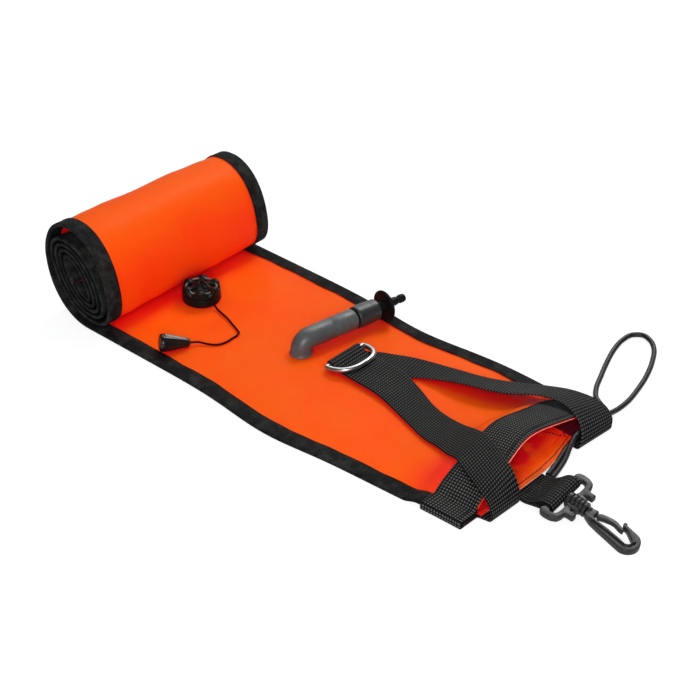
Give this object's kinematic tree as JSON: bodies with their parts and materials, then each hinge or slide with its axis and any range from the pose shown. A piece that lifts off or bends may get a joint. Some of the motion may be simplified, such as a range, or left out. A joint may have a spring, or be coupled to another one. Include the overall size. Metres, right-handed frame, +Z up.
{
  "type": "surface marker buoy",
  "caption": "Surface marker buoy of bright cloth, partly unrolled, with an open webbing-bound mouth, oral inflator, dump valve, harness strap with D-ring and a swivel hook.",
  "frame": {"origin": "on the flat underside of the back panel, on the tube's centreline, 160 mm behind the mouth", "axes": "+X along the tube from the rolled end to the open mouth, +Y across the tube to the side that the inflator points to, +Z up from the floor"},
  "size_m": [0.4613, 0.2568, 0.0777],
  "materials": {
    "orange_cloth": "fluorescent orange coated nylon, satin, the coating shows a slight sheen",
    "black_webbing": "black woven webbing, matt, with a ribbed weave",
    "chromed_steel": "polished round wire",
    "black_cord": "black braided cord, matt",
    "grey_plastic": "dark grey moulded plastic, satin",
    "black_plastic": "black moulded plastic, satin",
    "glossy_plastic": "black moulded plastic, glossy",
    "black_rubber": "black rubber, matt",
    "spring_steel": "plain spring wire"
  },
  "bodies": {
    "tube": {"back_panel": "orange_cloth", "front_panel": "orange_cloth", "near_edge_binding": "black_webbing", "far_edge_binding": "black_webbing", "top_end_binding": "black_webbing", "baffle_lower": "orange_cloth", "baffle_upper": "orange_cloth", "mouth_band": "black_webbing", "harness_strap": "black_webbing", "hook_tab": "black_webbing", "bungee_loop": "black_cord", "inflator_flange": "black_plastic", "inflator_elbow": "grey_plastic", "inflator_o_ring": "black_rubber", "inflator_collar": "black_plastic", "inflator_spring": "spring_steel", "dump_valve_flange": "black_plastic", "dump_valve_body": "black_plastic", "dump_valve_spring": "spring_steel", "dump_valve_cap": "black_plastic"},
    "ring": {"d_ring": "chromed_steel"},
    "buckle": {"swivel_buckle": "grey_plastic"},
    "hook": {"swivel_hook": "grey_plastic"},
    "gate": {"hook_gate": "grey_plastic"},
    "push_stem": {"inflator_push_stem": "black_plastic", "inflator_seal": "black_rubber"},
    "dump_disc": {"dump_valve_disc": "black_rubber", "pull_cord": "black_cord", "pull_toggle": "glossy_plastic"}
  },
  "joints": [
    {"name": "ring_hinge", "type": "hinge", "parent": "tube", "child": "ring", "pos_m": [-0.01, 0.0094, 0.0075], "axis": [0, -1, 0], "range_deg": [0, 110]},
    {"name": "buckle_hinge", "type": "hinge", "parent": "tube", "child": "buckle", "pos_m": [0.1916, -0.0169, 0.0108], "axis": [0.0279, -0.9942, -0.1034], "range_deg": [0, 90]},
    {"name": "hook_swivel", "type": "hinge", "parent": "buckle", "child": "hook", "pos_m": [0.19901, -0.01658, 0.00969], "axis": [0.9881, 0.0431, -0.1478], "continuous": true},
    {"name": "gate_hinge", "type": "hinge", "parent": "hook", "child": "gate", "pos_m": [0.21844, -0.01509, 0.00685], "axis": [-0.1514, 0.098, -0.9836], "range_deg": [0, 14], "stiffness_Nm_per_rad": 0.05, "springref_deg": -11.46},
    {"name": "stem_push", "type": "slide", "parent": "tube", "child": "push_stem", "axis": [-0.1736, -0.9848, 0], "range_m": [0, 0.004], "stiffness_N_per_m": 400, "springref_m": -0.004, "deforming": ["inflator_spring"]},
    {"name": "disc_lift", "type": "slide", "parent": "tube", "child": "dump_disc", "axis": [0, 0, 1], "range_m": [0, 0.0015], "stiffness_N_per_m": 300, "springref_m": -0.003, "deforming": ["dump_valve_spring"]}
  ]
}
